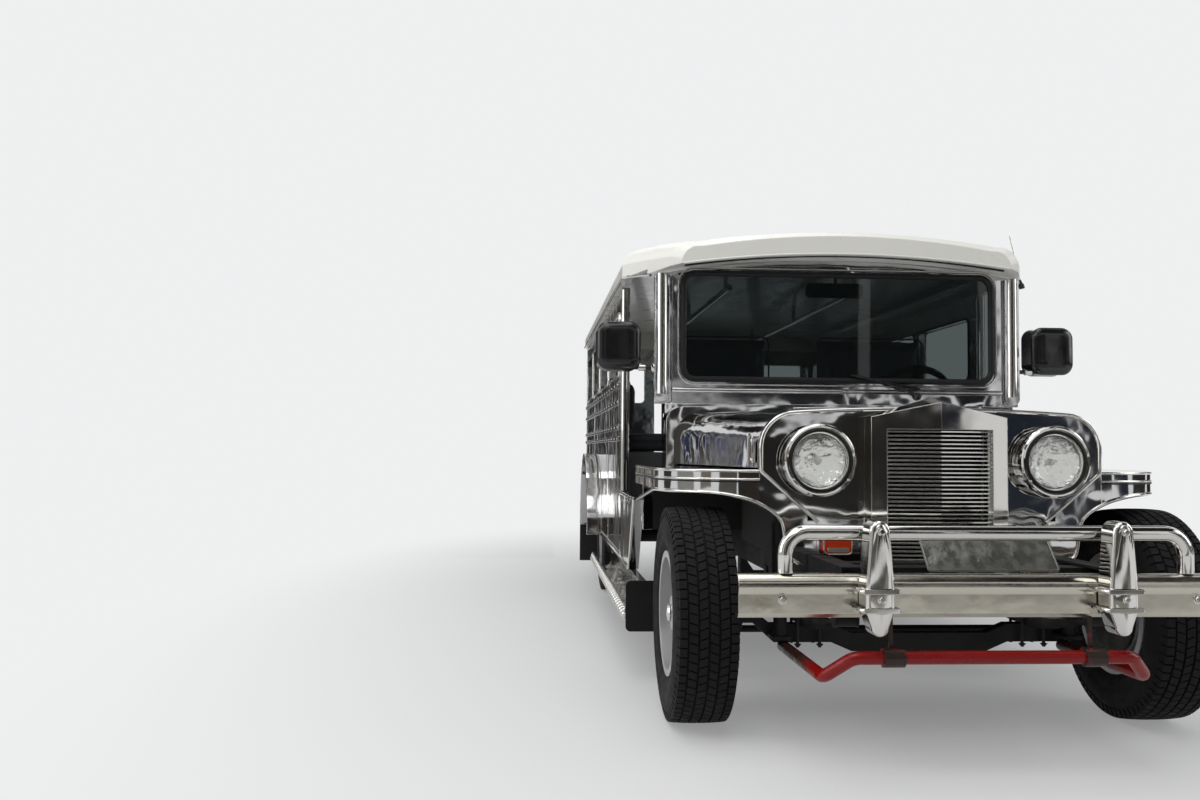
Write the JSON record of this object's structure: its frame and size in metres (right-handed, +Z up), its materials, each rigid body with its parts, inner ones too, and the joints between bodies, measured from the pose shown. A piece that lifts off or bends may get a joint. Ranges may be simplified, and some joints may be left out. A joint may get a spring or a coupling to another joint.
{
  "type": "jeepney",
  "caption": "Long jeepney with a rounded white roof, upright slatted grille, bright bumper and guard, side windows and benches; bonnet opens, wheels roll and the front ones steer.",
  "frame": {"origin": "on the ground, under the middle of the overall box", "axes": "+X the vehicle's left, +Y towards the rear, +Z up"},
  "size_m": [2.06, 5.6, 1.8417],
  "materials": {
    "chassis_black": "satin black chassis paint",
    "engine_iron": "rough cast iron",
    "exhaust_steel": "heat-stained steel",
    "floor_plate": "grey painted plate",
    "polished_steel": "polished stainless sheet",
    "radiator_black": "matt black",
    "chrome": "bright plating",
    "lamp_glass": "clear lamp glass",
    "signal_plastic": "orange and red lamp plastic",
    "window_glass": "lightly tinted glass",
    "white_paint": "white gloss paint",
    "rubber": "black sheet rubber",
    "red_paint": "red paint",
    "vinyl": "dark seat vinyl",
    "dash_plastic": "black plastic",
    "blank_plate": "blank white plate",
    "tyre": "black tyre rubber",
    "wheel_paint": "silver wheel paint"
  },
  "bodies": {
    "chassis": {"frame_rails": "chassis_black", "cross_members": "chassis_black", "spring_hangers": "chassis_black", "leaf_springs": "chassis_black", "front_axle": "chassis_black", "rear_axle": "chassis_black", "shock_absorbers": "chassis_black", "powertrain": "engine_iron", "fuel_tank": "chassis_black", "exhaust": "exhaust_steel", "floor": "floor_plate", "front_panel": "polished_steel", "radiator": "radiator_black", "radiator_shell": "chrome", "grille": "chrome", "headlamps": "chrome", "headlamp_lenses": "lamp_glass", "signal_lamps": "signal_plastic", "front_fender_left": "polished_steel", "front_fender_right": "polished_steel", "cowl": "polished_steel", "windscreen_frame": "polished_steel", "windscreen_glass": "window_glass", "roof": "white_paint", "body_side_left": "polished_steel", "body_side_right": "polished_steel", "rear_wall": "polished_steel", "side_mouldings": "chrome", "rear_fenders": "polished_steel", "mud_flaps": "rubber", "steps": "polished_steel", "seat_boxes": "floor_plate", "seat_cushions": "vinyl", "dashboard": "dash_plastic", "steering_column": "chassis_black", "bumper": "chrome", "bumper_guard": "chrome", "number_plate": "blank_plate", "anti_roll_bar": "red_paint", "mirrors": "dash_plastic", "grab_rails": "chrome"},
    "knuckle_left": {"knuckle_left": "engine_iron"},
    "knuckle_right": {"knuckle_right": "engine_iron"},
    "tie_rod": {"tie_rod": "chassis_black"},
    "steering_wheel": {"steering_wheel": "dash_plastic"},
    "bonnet": {"bonnet": "polished_steel"},
    "wheel_front_left": {"tyre_front_left": "tyre", "rim_front_left": "wheel_paint"},
    "wheel_front_right": {"tyre_front_right": "tyre", "rim_front_right": "wheel_paint"},
    "wheel_rear_left": {"tyre_rear_left": "tyre", "rim_rear_left": "wheel_paint"},
    "wheel_rear_right": {"tyre_rear_right": "tyre", "rim_rear_right": "wheel_paint"}
  },
  "joints": [
    {"name": "steering_wheel_turn", "type": "hinge", "parent": "chassis", "child": "steering_wheel", "pos_m": [0.39, -0.9097, 1.11], "axis": [0, 0.8191, 0.5736], "range_deg": [-540, 540]},
    {"name": "steer_left", "type": "hinge", "parent": "chassis", "child": "knuckle_left", "pos_m": [0.622, -2.1, 0.352], "axis": [0, 0, 1], "range_deg": [-30, 30]},
    {"name": "steer_right", "type": "hinge", "parent": "chassis", "child": "knuckle_right", "pos_m": [-0.622, -2.1, 0.352], "axis": [0, 0, 1], "range_deg": [-30, 30]},
    {"name": "tie_rod_swing", "type": "hinge", "parent": "knuckle_left", "child": "tie_rod", "pos_m": [0.622, -1.96, 0.282], "axis": [0, 0, 1], "range_deg": [-30, 30]},
    {"name": "bonnet_hinge", "type": "hinge", "parent": "chassis", "child": "bonnet", "pos_m": [0, -1.253, 1.068], "axis": [-1, 0, 0], "range_deg": [0, 60]},
    {"name": "spin_front_left", "type": "hinge", "parent": "knuckle_left", "child": "wheel_front_left", "pos_m": [0.758, -2.1, 0.352], "axis": [1, 0, 0], "continuous": true},
    {"name": "spin_front_right", "type": "hinge", "parent": "knuckle_right", "child": "wheel_front_right", "pos_m": [-0.758, -2.1, 0.352], "axis": [1, 0, 0], "continuous": true},
    {"name": "spin_rear_left", "type": "hinge", "parent": "chassis", "child": "wheel_rear_left", "pos_m": [0.758, 1.3, 0.352], "axis": [1, 0, 0], "continuous": true},
    {"name": "spin_rear_right", "type": "hinge", "parent": "chassis", "child": "wheel_rear_right", "pos_m": [-0.758, 1.3, 0.352], "axis": [1, 0, 0], "continuous": true}
  ],
  "couplings": [
    {"joint": "steer_left", "follows": "steering_wheel_turn", "ratio": 0.055556},
    {"joint": "steer_right", "follows": "steering_wheel_turn", "ratio": 0.055556},
    {"joint": "tie_rod_swing", "follows": "steering_wheel_turn", "ratio": -0.055556}
  ]
}
